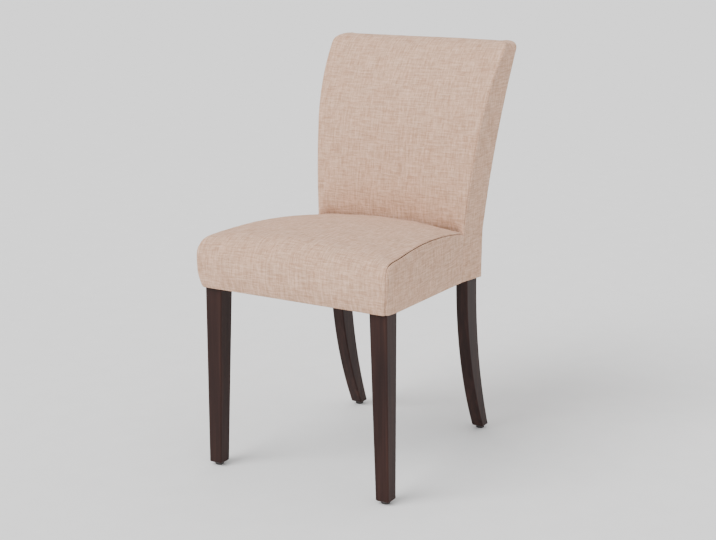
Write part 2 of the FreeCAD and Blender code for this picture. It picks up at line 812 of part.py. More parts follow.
def back_foam():
    """Foam in front of the back webbing and over the top rail."""
    clearance = strap_thickness + 2 * soft_gap
    top = post_top + soft_gap
    middle = (rear_hem_height + top) / 2
    wire = outline(
        at(-reach, post_front(rear_hem_height, clearance), rear_hem_height),
        (at(-reach, post_front(middle, clearance), middle),
         at(-reach, post_front(top, clearance), top)),
        at(-reach, reach, top), at(-reach, reach, rear_hem_height))
    frame_room = prism(wire, ACROSS * 2 * reach)
    below = layer(-reach, deck_top + soft_gap)
    return back_form(padding + soft_gap).cut(frame_room).cut(below)


def back_wadding():
    """Soft layer over the foam, round the outside of the posts and over the top."""
    frame_room = in_layer(frame_outline(), cover_thickness, deck_top + soft_gap)
    layers = back_form(cover_thickness + soft_gap).cut(back_form(padding))
    return layers.cut(behind(padding + soft_gap, post_top)).cut(frame_room)


def rear_lining():
    """Soft sheet under the outside-back cover."""
    inner = cover_thickness + soft_gap
    return back_form(inner).common(behind(inner + rear_lining_thickness, post_top))


def backing_board():
    """Thin curved board across the rear edges of the posts."""
    inner = cover_thickness + rear_lining_thickness + 3 * soft_gap
    return back_form(inner).common(behind(inner + backing_board_thickness, post_top))


def hem_strip(side, rear):
    """Part of the turned-under hem that belongs to a side panel."""
    corners = [(0, leg_front_setback + front_leg_square / 2), (half_span, leg_front_setback
               + front_leg_square / 2), (half_span, rear), (0, rear)]
    return in_layer(to_side(corners, side), -padding, cover_thickness + soft_gap)


def cut_open(shell):
    """Cover without its middle underneath and without the room of the legs."""
    middle = in_layer(hem_outline(hem_turn_under), -padding, cover_thickness + soft_gap)
    return shell.cut([middle] + leg_holes())


def panels(shell, inside, rear):
    """Left and right side panels of a cover, with their hems, and the rest of it."""
    strips = shell.cut(inside)
    rest = shell.common(inside)
    sides = []
    for _, side in SIDES:
        own = [solid for solid in strips.Solids if solid.CenterOfMass.x * side > 0]
        under = rest.common(hem_strip(side, rear))
        sides.append(joined(own + under.Solids))
    return sides, rest.cut([hem_strip(side, rear) for _, side in SIDES])


def seat_covers():
    """Side panels of the seat, and the panel over its top and down its front."""
    shell = cut_open(seat_form(0).cut(seat_form(cover_thickness)))
    sides, top = panels(shell, seat_walls(cover_thickness), reach)
    behind_deck = in_layer([(-reach, front_hem_width / 2), (reach, front_hem_width / 2),
                            (reach, reach), (-reach, reach)], -padding, deck_top + soft_gap)
    frame_room = in_layer(frame_outline(), cover_thickness, deck_top + soft_gap)
    return [panel.cut(frame_room) for panel in sides] + [top.cut(behind_deck)]


def back_covers():
    """Boxing strips of the back, its inside-back panel and its outside-back panel."""
    shell = cut_open(back_form(0).cut(back_form(cover_thickness)))
    low = rear_hem_height - 2 * padding
    base = side_line(low, cover_thickness)
    top = side_line(corner_height, cover_thickness)
    corners = both_halves([(base, low), (base, back_flare_height), (top, corner_height),
                           (top, back_height + padding)])
    seam = rear_hem_depth - hem_turn_under
    sides, rest = panels(shell, front_prism(corners, 0, reach), seam)
    outside_room = behind(hem_turn_under, rear_edge_height)
    inside_back = rest.cut(outside_room).cut(layer(-reach, deck_top + soft_gap))
    return sides + [inside_back, rest.common(outside_room)]


def dust_cover_staples():
    """Spot and direction of the crown of every staple under the dust cover."""
    spots = []
    low = -dust_cover_thickness
    front = (leg_front_setback + front_hem_setback + hem_turn_under) / 2
    rear = (rear_rail_back + rear_hem_depth - hem_turn_under) / 2
    for x in long_places():
        for depth in (front, rear):
            spots.append((at(x, depth, hem(depth) + low), ACROSS))
    for depth in cross_depths():
        x = (rail_outer(depth) + wall(depth) - hem_turn_under) / 2
        for _, side in SIDES:
            spots.append((at(side * x, depth, hem(depth) + low), DOWN_THE_DECK))
    return spots


def build():
    """Every piece of the chair by name."""
    gap = fastener_clearance
    blocks = [(name, CornerBlock(corner, side), corner)
              for corner in ("front", "rear") for name, side in SIDES]
    bolted = [block for _, block, corner in blocks if corner == "front"]
    offsets = (-screw_offset, screw_offset)
    dowels = rail_dowels()
    feet = [(name, corner, side * x, depth) for corner, x, depth in FEET for name, side in SIDES]
    seat_staples = [(spot, along, DECK_NORMAL) for spot, along in seat_staple_spots()]
    back_staples = [(spot, ACROSS, leaning(height).Rotation.multVec(-BACKWARDS))
                    for spot, height in back_staple_spots()]
    dust_staples = [(spot, along, -DECK_NORMAL) for spot, along in dust_cover_staples()]

    joints = [rod(start, way, dowel_length, dowel_diameter, gap) for start, way in dowels]
    joints += [screw(block, offset, gap) for _, block, _ in blocks for offset in offsets]
    joints += [leg_bolt(block, gap) for block in bolted]
    joints += [glide_nail(x, depth, gap) for _, _, x, depth in feet]
    seat_holes = [hole for spot in seat_staples for hole in staple(*spot, gap)]
    back_holes = [hole for spot in back_staples for hole in staple(*spot, gap)]
    hem_holes = [hole for spot in dust_staples for hole in staple(*spot, gap)]

    pieces = {}
    for name, side in SIDES:
        pieces["front_leg_" + name] = front_leg(side)
        pieces["rear_post_" + name] = rear_post(side)
        pieces["side_rail_" + name] = side_rail(side)
    for name, block, corner in blocks:
        pieces["corner_block_" + corner + "_" + name] = block.solid
    pieces["front_rail"] = cross_rail(leg_inner, leg_front_setback, front_rail_back)
    pieces["rear_rail"] = cross_rail(post_inner, rear_rail_front, rear_rail_back)
    pieces["back_top_rail"] = back_rail(*BACK_RAILS[0])
    pieces["back_lower_rail"] = back_rail(*BACK_RAILS[1])
    holes = joints + seat_holes + back_holes + hem_holes
    pieces = {name: drilled(piece, holes) for name, piece in pieces.items()}

    places = list(enumerate(long_places()))
    pieces["seat_webbing_lengthwise"] = Part.Compound(
        [drilled(lengthwise_strap(x, count), seat_holes) for count, x in places])
    pieces["seat_webbing_crosswise"] = Part.Compound(
        [drilled(crosswise_strap(depth), seat_holes) for depth in cross_depths()])
    pieces["back_webbing"] = Part.Compound(
        [drilled(back_strap(height), back_holes) for height in back_strap_heights()])
    covers = {"dust_cover": in_layer(hem_outline(dust_cover_inset),
                                     -dust_cover_thickness, 0).cut(leg_holes())}
    covers.update(zip(("seat_side_cover_left", "seat_side_cover_right", "seat_top_cover"),
                      seat_covers()))
    covers.update(zip(("back_side_cover_left", "back_side_cover_right",
                       "back_front_cover", "back_rear_cover"), back_covers()))
    for name, cover in covers.items():
        pieces[name] = drilled(cover, hem_holes)

    pieces["rail_dowels"] = Part.Compound(
        [rod(start, way, dowel_length, dowel_diameter) for start, way in dowels])
    pieces["corner_block_screws"] = Part.Compound(
        [screw(block, offset) for _, block, _ in blocks for offset in offsets])
    pieces["leg_bolts"] = Part.Compound([leg_bolt(block) for block in bolted])
    pieces["leg_bolt_washers"] = Part.Compound([bolt_washer(block) for block in bolted])
    pieces["leg_bolt_nuts"] = Part.Compound([bolt_nut(block) for block in bolted])
    for name, corner, x, depth in feet:
        pieces["glide_" + corner + "_" + name] = glide(x, depth)
    pieces["glide_nails"] = Part.Compound([glide_nail(x, depth) for _, _, x, depth in feet])
    for name, spots in (("seat_webbing_staples", seat_staples),
                        ("back_webbing_staples", back_staples),
                        ("dust_cover_staples", dust_staples)):
        pieces[name] = Part.Compound([staple(*spot)[0] for spot in spots])
    pieces["seat_burlap"] = burlap()
    pieces["seat_foam"] = seat_foam()
    pieces["seat_wadding"] = seat_wadding()
    pieces["back_foam"] = back_foam()
    pieces["back_wadding"] = back_wadding()
    pieces["back_rear_lining"] = rear_lining()
    pieces["back_board"] = backing_board()
    return pieces


os.makedirs("parts", exist_ok=True)
for piece_name, shape in build().items():
    shape.exportStep("parts/" + piece_name + ".step")
    solids = shape.Solids
    print(piece_name, len(solids), "solids, volume", round(sum(s.Volume for s in solids)))
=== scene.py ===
import math

import bpy
import numpy as np
from mathutils import Matrix, noise


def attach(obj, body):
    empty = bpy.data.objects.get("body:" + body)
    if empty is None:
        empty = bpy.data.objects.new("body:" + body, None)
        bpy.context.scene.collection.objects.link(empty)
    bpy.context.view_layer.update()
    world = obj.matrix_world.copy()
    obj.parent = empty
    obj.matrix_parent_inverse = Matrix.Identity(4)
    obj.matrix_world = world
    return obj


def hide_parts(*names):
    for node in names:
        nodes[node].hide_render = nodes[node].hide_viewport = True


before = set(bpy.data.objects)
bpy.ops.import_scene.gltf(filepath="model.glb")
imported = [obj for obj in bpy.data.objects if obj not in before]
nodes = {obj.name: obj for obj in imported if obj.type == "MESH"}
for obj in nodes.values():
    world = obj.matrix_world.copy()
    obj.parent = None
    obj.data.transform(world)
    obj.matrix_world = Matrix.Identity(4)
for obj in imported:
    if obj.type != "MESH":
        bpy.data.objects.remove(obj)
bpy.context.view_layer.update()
bpy.ops.object.select_all(action="DESELECT")

# The studio: a wide pale floor that runs on to the horizon, one broad soft light from the
# upper left in front, a pale sky all round, and the camera where the photograph was taken.
floor_size = 90.0
sensor_width = 36.0
camera_azimuth = math.radians(32.2875)
camera_elevation = math.radians(13.9433)
camera_roll = math.radians(-0.3635)
camera_target = Matrix.Translation((-0.009544, -0.004205, 0.408040))
camera_distance = 3.277755
camera_lens = 75.338


def plain_material(name, roughness):
    """Material with a Principled shader, and what is needed to build on it."""
    material = bpy.data.materials.new(name)
    material.use_nodes = True
    shader = material.node_tree.nodes["Principled BSDF"]
    shader.inputs["Roughness"].default_value = roughness
    return material, shader


def pattern(material, kind, **sockets):
    """Node of a material, with values or other nodes' outputs on its inputs."""
    made = material.node_tree.nodes.new(kind)
    for key, value in sockets.items():
        name = key.replace("_", " ")
        socket = made.inputs[int(name[1:]) if name[1:].isdigit() else name]
        if isinstance(value, bpy.types.NodeSocket):
            material.node_tree.links.new(value, socket)
        else:
            socket.default_value = value
    return made


def joined_to(material, output, socket):
    """Link from an output to an input."""
    material.node_tree.links.new(output, socket)


def colours(material, factor, *stops):
    """Colour ramp over a factor, from pairs of place and colour."""
    ramp = pattern(material, "ShaderNodeValToRGB", Fac=factor)
    ramp.color_ramp.elements[0].position = stops[0][0]
    ramp.color_ramp.elements[0].color = (*stops[0][1], 1)
    ramp.color_ramp.elements[1].position = stops[-1][0]
    ramp.color_ramp.elements[1].color = (*stops[-1][1], 1)
    for place, colour in stops[1:-1]:
        ramp.color_ramp.elements.new(place).color = (*colour, 1)
    return ramp.outputs["Color"]


def placed(material, space, scale, location=(0, 0, 0)):
    """Coordinates of a pattern, scaled in each direction."""
    source = pattern(material, "ShaderNodeTexCoord").outputs[space]
    return pattern(material, "ShaderNodeMapping", Vector=source, Scale=scale,
                   Location=location).outputs["Vector"]


def sunlight(tilt, heading, energy, softness):
    """Broad soft light from far away, with its angles in degrees."""
    bpy.ops.object.light_add(type="SUN", rotation=(math.radians(tilt), 0, math.radians(heading)))
    bpy.context.object.data.energy = energy
    bpy.context.object.data.angle = math.radians(softness)


bpy.ops.mesh.primitive_plane_add(size=floor_size)
floor = bpy.context.object
floor.name = "studio_floor"
floor_paint, shader = plain_material("studio_floor", roughness=0.7)
speckle = pattern(floor_paint, "ShaderNodeTexNoise",
                  Vector=placed(floor_paint, "Object", (3, 3, 3))).outputs["Fac"]
floor_tone = colours(floor_paint, speckle, (0.3, (0.86, 0.86, 0.86)), (0.7, (0.88, 0.88, 0.88)))
joined_to(floor_paint, floor_tone, shader.inputs["Base Color"])
floor.data.materials.append(floor_paint)

turn = (Matrix.Rotation(camera_azimuth, 4, "Z")
        @ Matrix.Rotation(math.pi / 2 - camera_elevation, 4, "X")
        @ Matrix.Rotation(camera_roll, 4, "Z"))
stand = camera_target @ turn @ Matrix.Translation((0, 0, camera_distance))
bpy.ops.object.camera_add(location=stand.translation, rotation=turn.to_euler())
camera = bpy.context.object
camera.data.lens = camera_lens
camera.data.sensor_width = sensor_width
bpy.context.scene.camera = camera

sunlight(tilt=46, heading=-24, energy=2.9, softness=40)
sunlight(tilt=62, heading=75, energy=0.35, softness=70)
sky = bpy.data.worlds.new("studio_sky")
sky.use_nodes = True
sky.node_tree.nodes["Background"].inputs["Color"].default_value = (1.0, 1.0, 1.0, 1)
sky.node_tree.nodes["Background"].inputs["Strength"].default_value = 1.0
bpy.context.scene.world = sky

# Legs and back posts: straight-grained hardwood under a dark satin stain. The stain lets a
# warm brown through between the pores.


def finish_nodes(material, names):
    """Gives carried-over nodes their material."""
    for name in names:
        nodes[name].data.materials.clear()
        nodes[name].data.materials.append(material)


def mottling(material, space, scale, detail, location=(0, 0, 0), **more):
    """Irregular pattern with so many patches to the metre in each direction."""
    return pattern(material, "ShaderNodeTexNoise", Vector=placed(material, space, scale, location),
                   Scale=1.0, Detail=detail, **more).outputs["Fac"]


def multiplied(material, first, second):
    """One colour multiplied by another."""
    product = pattern(material, "ShaderNodeMix")
    product.data_type = "RGBA"
    product.blend_type = "MULTIPLY"
    product.inputs["Factor"].default_value = 1.0
    joined_to(material, first, product.inputs[6])
    joined_to(material, second, product.inputs[7])
    return product.outputs[2]


def relieved(material, shader, height, strength, distance):
    """Gives a surface its fine relief."""
    relief = pattern(material, "ShaderNodeBump", Strength=strength, Distance=distance, Height=height)
    joined_to(material, relief.outputs["Normal"], shader.inputs["Normal"])


stained, shader = plain_material("stained_wood", roughness=0.42)
shader.inputs["Specular IOR Level"].default_value = 0.16
grain = mottling(stained, "Object", (70, 70, 2.2), detail=6.0, Roughness=0.62, Distortion=0.5)
pores = mottling(stained, "Object", (520, 520, 14), detail=3.0)
clouds = mottling(stained, "Object", (9, 9, 3), detail=2.0)
grain_tone = colours(stained, grain, (0.30, (0.015, 0.0062, 0.0054)),
                     (0.52, (0.027, 0.0120, 0.0100)), (0.72, (0.046, 0.0200, 0.0150)))
cloud_tone = colours(stained, clouds, (0.35, (0.78, 0.76, 0.78)), (0.65, (1.18, 1.12, 1.06)))
joined_to(stained, multiplied(stained, grain_tone, cloud_tone), shader.inputs["Base Color"])
relieved(stained, shader, pores, strength=0.12, distance=0.0004)
finish_nodes(stained, ["front_leg_left", "front_leg_right", "rear_post_left", "rear_post_right"])

# The rest of the frame: planed hardwood rails, doweled and glued to the legs, with a glued and
# screwed block in each corner. The covers hide it, so it is left bare.

bare, shader = plain_material("frame_wood", roughness=0.6)
rings = mottling(bare, "Object", (6, 70, 70), detail=5.0, Distortion=0.6)
bare_tone = colours(bare, rings, (0.3, (0.50, 0.36, 0.22)), (0.5, (0.63, 0.48, 0.32)),
                    (0.7, (0.71, 0.57, 0.40)))
joined_to(bare, bare_tone, shader.inputs["Base Color"])
relieved(bare, shader, rings, strength=0.15, distance=0.0005)
finish_nodes(bare, ["front_rail", "rear_rail", "side_rail_left", "side_rail_right",
                    "corner_block_front_left", "corner_block_front_right",
                    "corner_block_rear_left", "corner_block_rear_right", "back_top_rail",
                    "back_lower_rail", "rail_dowels"])

# Fasteners: zinc-plated screws in the corner blocks, bolts with washers and nuts that hold the
# front legs, a nail in each glide, and the galvanised staples of the webbing and the dust cover.

zinc, shader = plain_material("zinc_steel", roughness=0.35)
shader.inputs["Metallic"].default_value = 1.0
scuffs = mottling(zinc, "Object", (260, 260, 260), detail=4.0)
zinc_tone = colours(zinc, scuffs, (0.3, (0.52, 0.52, 0.50)), (0.7, (0.68, 0.68, 0.66)))
joined_to(zinc, zinc_tone, shader.inputs["Base Color"])
finish_nodes(zinc, ["corner_block_screws", "leg_bolts", "leg_bolt_washers", "leg_bolt_nuts",
                    "glide_nails", "seat_webbing_staples", "back_webbing_staples",
                    "dust_cover_staples"])

# Glides: small round discs of dark moulded plastic. One is nailed under each foot, and all are
# dulled and finely scratched where they rub on the floor.

moulded, shader = plain_material("glide_plastic", roughness=0.5)
rubbed = mottling(moulded, "Object", (420, 420, 420), detail=3.0)
glide_tone = colours(moulded, rubbed, (0.3, (0.020, 0.017, 0.016)), (0.7, (0.034, 0.029, 0.027)))
joined_to(moulded, glide_tone, shader.inputs["Base Color"])
relieved(moulded, shader, rubbed, strength=0.2, distance=0.0002)
finish_nodes(moulded, ["glide_front_left", "glide_front_right", "glide_rear_left",
                       "glide_rear_right"])

# Suspension: woven jute webbing, interlaced over the seat and run across the back, stretched and
# stapled to the frame. A sheet of open jute cloth lies on the seat's webbing under the foam.


def both_threads(material, space, scale, distortion):
    """The two sets of threads of a weave, one along each direction."""
    threads = []
    for direction in ("X", "Y"):
        thread = pattern(material, "ShaderNodeTexWave", Vector=placed(material, space, (1, 1, 1)),
                         Scale=scale, Distortion=distortion, Detail=2.0)
        thread.bands_direction = direction
        threads.append(thread.outputs["Fac"])
    return threads


def combined(material, operation, first, second):
    """Sum or product of two values."""
    made = pattern(material, "ShaderNodeMath", i0=first, i1=second)
    made.operation = operation
    return made.outputs[0]


jute, shader = plain_material("jute", roughness=0.9)
crossed = combined(jute, "MULTIPLY", *both_threads(jute, "Object", scale=420.0, distortion=1.5))
jute_tone = colours(jute, crossed, (0.05, (0.20, 0.14, 0.08)), (0.6, (0.46, 0.36, 0.23)))
joined_to(jute, jute_tone, shader.inputs["Base Color"])
relieved(jute, shader, crossed, strength=0.5, distance=0.0008)
finish_nodes(jute, ["seat_webbing_lengthwise", "seat_webbing_crosswise", "back_webbing",
                    "seat_burlap"])

# Backing board: thin grey-brown board of pressed fibres, fixed behind the back posts. It keeps
# the outside back smooth.

card, shader = plain_material("backing_board", roughness=0.85)
fibres = mottling(card, "Object", (160, 900, 160), detail=5.0)
card_tone = colours(card, fibres, (0.3, (0.36, 0.30, 0.22)), (0.7, (0.50, 0.43, 0.33)))
joined_to(card, card_tone, shader.inputs["Base Color"])
finish_nodes(card, ["back_board"])

# Seat cover, top and front: one panel of linen-look cloth that starts under the front hem, climbs
# the front, rolls over the edge and runs back to tuck in under the back. Foam and wadding fill it.
# Depths run backwards from the front of the seat, and half_depth puts them round the middle.

half_depth = 0.2892178

# Cloth and its seams.
cloth_thickness = 0.0015
seam_depth = 0.0008
seam_width = 0.0010
seam_gap = 0.0001
turned_in = 0.005
square = math.radians(45)
seat_edge = 0.009
ring_reach = 0.7071
ring_shares = (0, 0.15, 0.36, 0.66, 1)
even_rings = (0.008, 0.013, 0.020)

# Hem, and width of the seat.
hem_front_height = 0.403
hem_front_depth = 0.009
hem_fall = 0.027
hem_run = 0.479
front_half_width = 0.2275
straight_depth = 0.066
taper_end = 0.396
taper_at_leg = 0.01754
taper_behind = 0.11515
swell_height = 0.055
swell_out = 0.006
swell_lean = 0.001
swell_round = 0.005
swell_fade = 0.7
swell_run = 0.441

# Curve of the inside back, seen from the side.
back_centre_depth = 1.950
back_centre_height = 0.376
back_radius = 1.554
back_crown = 0.006
crown_half = 0.222
back_base_half = 0.1895

# Outline of the seat from the front hem to the crease, seen from the side.
front_radius = 0.1025
front_turn = 0.4222
upright_height = 0.445
seam_height = 0.513
seat_crown = 0.013
seat_width = 0.457
top_radius = 1.570
top_depth = 0.150
roll_rise = 1.53069
roll_radius = 0.035
roll_turn = 1.4958
top_start = 0.0324
crease_height = 0.500
crease_gap = 0.0052
tuck_radius = 0.009
tuck_drop = 0.010
rear_run = 0.24
rear_rise = 0.003
rear_fall = 0.008


def hem_height(depth):
    """Height of the hem, which falls towards the back."""
    return hem_front_height - (depth - hem_front_depth) * hem_fall / hem_run


def seat_half_width(depth, height):
    """Half the seat's width: nearly straight over the front legs, then tapering, with a swell."""
    share = np.maximum((height - hem_height(depth)) / swell_height, 0) - 1
    swell = swell_out + swell_lean * share - swell_round * share ** 2
    fade = 1 - swell_fade * np.maximum(depth, 0) / swell_run
    past = np.minimum(depth, taper_end) - straight_depth
    return front_half_width - past * np.where(past > 0, taper_behind, taper_at_leg) + swell * fade


def crowned_radius(x):
    """Radius of the inside back's curve at a width: it is crowned."""
    return back_radius + back_crown * (1 - (x / crown_half) ** 2)


def back_front(x, height):
    """Depth of the inside back below its roll."""
    return back_centre_depth - math.sqrt(crowned_radius(x) ** 2 - (height - back_centre_height) ** 2)


def seat_outline(x, stretch, share):
    """Depth and height on the seat's front and top at a width."""
    top_centre = seam_height + seat_crown * (1 - (2 * x / seat_width) ** 2) - top_radius
    roll_height = top_centre + roll_rise
    if stretch == "front":
        angle = -front_turn * (1 - share)
        return (front_radius - front_radius * math.cos(angle),
                upright_height + front_radius * math.sin(angle))
    if stretch == "upright":
        return 0.0, upright_height + share * (roll_height - upright_height)
    if stretch == "roll":
        angle = roll_turn * share
        return (roll_radius - roll_radius * math.cos(angle),
                roll_height + roll_radius * math.sin(angle))
    end = back_front(x, crease_height) - crease_gap
    depth = top_start + min(share, 1) * (end - top_start)
    height = top_centre + math.sqrt(top_radius ** 2 - (depth - top_depth) ** 2)
    rear_share = max(depth - top_depth, 0) / rear_run
    height += rear_share ** 2 * (rear_rise - rear_fall * (x / back_base_half) ** 2)
    angle = min(max(share - 1, 0), 1) * math.pi / 2
    return (depth + tuck_radius * math.sin(angle),
            height - tuck_radius * (1 - math.cos(angle)) - tuck_drop * max(share - 2, 0))


def seam_inset(radius, half_angle):
    """How far inside a form's sharp edge the seam lies, once that edge is rounded."""
    return radius * (np.tan(half_angle) - np.sin(half_angle))


def ring_steps(radius, *further):
    """Distances from a seam at which a sheet of cloth has its outermost lines."""
    return [radius * ring_reach * share for share in ring_shares] + list(further)


def spread(first, last, step):
    """Even places between two others, without them."""
    count = max(int(round(abs(last - first) / step)), 2)
    return [first + (last - first) * place / count for place in range(1, count)]


def panel_widths(half, rings, count):
    """Places across a panel from left to right: its rings beside each seam, and even ones between."""
    outer = [half - step for step in rings]
    return [-x for x in outer] + spread(-outer[-1], outer[-1], (outer[-1] * 2) / count) + outer[::-1]


def unrolled(form, across=0, facing=1):
    """Flat pattern of rows of points: their place across, and how far up the cloth a row lies."""
    flat = []
    run = 0
    before = None
    for row in form:
        here = row[0][:across] + row[0][across + 1:]
        if before:
            run += math.dist(before, here)
        before = here
        flat.append([(point[across] * facing, run) for point in row])
    return np.array(flat)


def unit(vectors):
    """Vectors at a length of one."""
    return vectors / np.maximum(np.linalg.norm(vectors, axis=-1, keepdims=True), 1e-9)


def to_line(places, line):
    """Distance from each place to a line, and where along the line it is nearest."""
    step = line[1:] - line[:-1]
    away = places[:, None, :] - line[None, :-1]
    share = (away * step).sum(axis=2) / np.maximum((step ** 2).sum(axis=1), 1e-12)
    share = np.clip(share, 0, 1)
    gap = np.linalg.norm(away - share[..., None] * step, axis=2)
    best = gap.argmin(axis=1)
    rows = np.arange(len(places))
    return gap[rows, best], best + share[rows, best]


edges = {"left": (slice(None), 0), "right": (slice(None), -1),
         "bottom": (0, slice(None)), "top": (-1, slice(None))}
hem_shares = (0.06, 0.4, 1.0)
hem_step = 0.002
corner_step = 0.1


def drawn_to_seam(flat, directions, side, radius, half_angle):
    """How a seam moves a sheet's points, how its allowance turns in, and which way leads out."""
    normal, right, up = directions
    shape = (*flat.shape[:2], 1)
    line = flat[edges[side]]
    along = unit(np.gradient(line, axis=0))
    out = np.stack([along[:, 1], -along[:, 0]], axis=1) * (1 if side in ("right", "bottom") else -1)
    gap, where = to_line(flat.reshape(-1, 2), line)
    gap = gap.reshape(shape)
    near_radius, near_angle, out_right, out_up = (
        np.interp(where, np.arange(len(line)), np.broadcast_to(values, len(line))).reshape(shape)
        for values in (radius, half_angle, out[:, 0], out[:, 1]))
    inside = np.maximum(near_radius * np.sin(near_angle) - gap, 0)
    drop = near_radius - np.sqrt(np.maximum(near_radius ** 2 - inside ** 2, 0))
    outward = unit(out_right * right + out_up * up)
    bisector = unit(normal * np.cos(near_angle) + outward * np.sin(near_angle))
    own = unit(normal * np.sin(near_angle) - outward * np.cos(near_angle))
    moved = normal * drop + bisector * seam_depth * np.exp(-gap / seam_width)
    return moved, own * seam_gap - bisector * turned_in, out


def tailored(form, flat, seams, hem=None):
    """Points of a sheet on its form: rounded, drawn in and turned in at its seams, and hemmed.

    The form and its flat pattern have rows from bottom to top and columns from left to right, as
    seen from outside. A seam is a side, a radius and half the angle that the cloth turns there.
    """
    across = np.gradient(form, axis=1)
    normal = unit(np.cross(across, np.gradient(form, axis=0)))
    right = unit(across)
    directions = (normal, right, np.cross(normal, right))
    moved = np.zeros_like(form)
    folds = {}
    for side, radius, half_angle in seams:
        pull, fold, out = drawn_to_seam(flat, directions, side, radius, half_angle)
        moved -= pull
        folds[side] = (fold, out)
    points = form + moved
    free = np.min([to_line(flat.reshape(-1, 2), flat[edge])[0] for edge in edges.values()], axis=0)
    free = free.reshape(form.shape[:2])
    pad = [0, 0]
    for place, side in enumerate(("left", "right")):
        if side in folds:
            fold, out = folds[side]
            column = edges[side]
            order = 1 if place else -1
            pad[place] = 1
            added = (points[column] + fold[column])[:, None]
            points = np.concatenate([points, added][::order], axis=1)
            added = (flat[column] + out * turned_in)[:, None]
            flat = np.concatenate([flat, added][::order], axis=1)
            normal = np.concatenate([normal, normal[column][:, None]][::order], axis=1)
            free = np.pad(free, ((0, 0), (1 - place, place)))
    if "top" in folds:
        fold = np.pad(folds["top"][0][-1], (pad, (0, 0)), mode="edge")
        points = np.concatenate([points, (points[-1] + fold)[None]])
        flat = np.concatenate([flat, flat[-1:] + (0, turned_in)])
        free = np.pad(free, ((0, 1), (0, 0)))
    if hem is not None:
        inward = unit(-normal[0] * (1, 1, 0))
        width = np.pad(hem, pad, mode="edge")[:, None]
        edge = points[0].copy()
        if pad[0]:
            edge[0] = edge[1] + (edge[1] - edge[2]) * corner_step
        if pad[1]:
            edge[-1] = edge[-2] + (edge[-2] - edge[-3]) * corner_step
        for share in hem_shares:
            points = np.concatenate([(edge + inward * width * share)[None], points])
            flat = np.concatenate([flat[:1] - (0, hem_step), flat])
            free = np.pad(free, ((1, 0), (0, 0)))
    return points, flat, free


def cloth_sheet(name, points, flat):
    """Grid of cloth through rows of points, with its flat pattern in metres as its UVs."""
    rows, columns = points.shape[:2]
    bpy.ops.object.select_all(action="DESELECT")
    bpy.ops.mesh.primitive_grid_add(x_subdivisions=columns - 1, y_subdivisions=rows - 1)
    piece = bpy.context.object
    piece.name = name
    piece.data.name = name
    piece.data.vertices.foreach_set("co", points.reshape(-1).astype(np.float32))
    corners = np.empty(len(piece.data.loops), np.int32)
    piece.data.loops.foreach_get("vertex_index", corners)
    spots = flat.reshape(-1, 2)[corners].astype(np.float32)
    piece.data.uv_layers.active.data.foreach_set("uv", spots.reshape(-1))
    piece.data.update()
    return piece


held_width = 0.030
held_share = 0.03
pressure = 4
pressing_steps = 20
full_inset = 0.003
full_cap = 0.004


def pressed_out(piece, free, inset=full_inset, cap=full_cap):
    """Lets the padding press a sheet outwards from a little inside its form, where it isn't sewn."""
    mesh = piece.data
    count = len(mesh.vertices)
    share = np.clip(free.reshape(-1) / held_width, 0, 1)
    share = share * share * (3 - 2 * share)
    start = np.empty(count * 3, np.float32)
    mesh.vertices.foreach_get("co", start)
    start = start.reshape(-1, 3)
    normals = np.empty(count * 3, np.float32)
    mesh.vertices.foreach_get("normal", normals)
    start = start - normals.reshape(-1, 3) * (inset * share)[:, None]
    mesh.vertices.foreach_set("co", start.reshape(-1))
    held = piece.vertex_groups.new(name="held")
    held.add([int(spot) for spot in np.nonzero(share < held_share)[0]], 1.0, "REPLACE")
    cloth = piece.modifiers.new("cloth", "CLOTH")
    cloth.settings.vertex_group_mass = "held"
    cloth.settings.quality = 5
    cloth.settings.uniform_pressure_force = pressure
    cloth.settings.use_pressure = True
    cloth.settings.effector_weights.gravity = 0
    cloth.point_cache.frame_end = pressing_steps
    for step in range(1, pressing_steps + 1):
        bpy.context.scene.frame_set(step)
    shaped = piece.evaluated_get(bpy.context.evaluated_depsgraph_get()).data
    found = np.empty(count * 3, np.float32)
    shaped.vertices.foreach_get("co", found)
    moved = found.reshape(-1, 3) - start
    length = np.linalg.norm(moved, axis=1)
    print(piece.name, "pressed out by", round(float(length.max()) * 1000, 1), "mm before the cap")
    moved *= (np.minimum(length, cap * share) / np.maximum(length, 1e-9))[:, None]
    piece.modifiers.remove(cloth)
    piece.vertex_groups.clear()
    bpy.context.scene.frame_set(1)
    mesh.vertices.foreach_set("co", (start + moved).reshape(-1))
    mesh.update()


slack_waves = ((13, 0.0011), (34, 0.0004))
slack_fade = 0.010
pucker_wave = 85
pucker_height = 0.0006
pucker_reach = 0.012
pucker_fade = 0.003


def uneven(piece):
    """Raises and lowers the cloth a little: slackly where it is free, in puckers by its seams."""
    mesh = piece.data
    for vertex, gap in zip(mesh.vertices, mesh.attributes["from_seam"].data):
        slack = sum(noise.noise(vertex.co * wave) * height for wave, height in slack_waves)
        pucker = noise.noise(vertex.co * pucker_wave) * pucker_height
        pucker *= math.exp(-gap.value / pucker_reach)
        vertex.co += vertex.normal * (slack * min(gap.value / slack_fade, 1)
                                      + pucker * min(gap.value / pucker_fade, 1))
    mesh.attributes.remove(mesh.attributes["from_seam"])


def walled(piece, thickness):
    """Gives a sheet its thickness, inwards, and smooth shading."""
    wall = piece.modifiers.new("wall", "SOLIDIFY")
    wall.thickness = thickness
    wall.offset = -1
    bpy.ops.object.modifier_apply(modifier="wall")
    bpy.ops.object.shade_smooth()


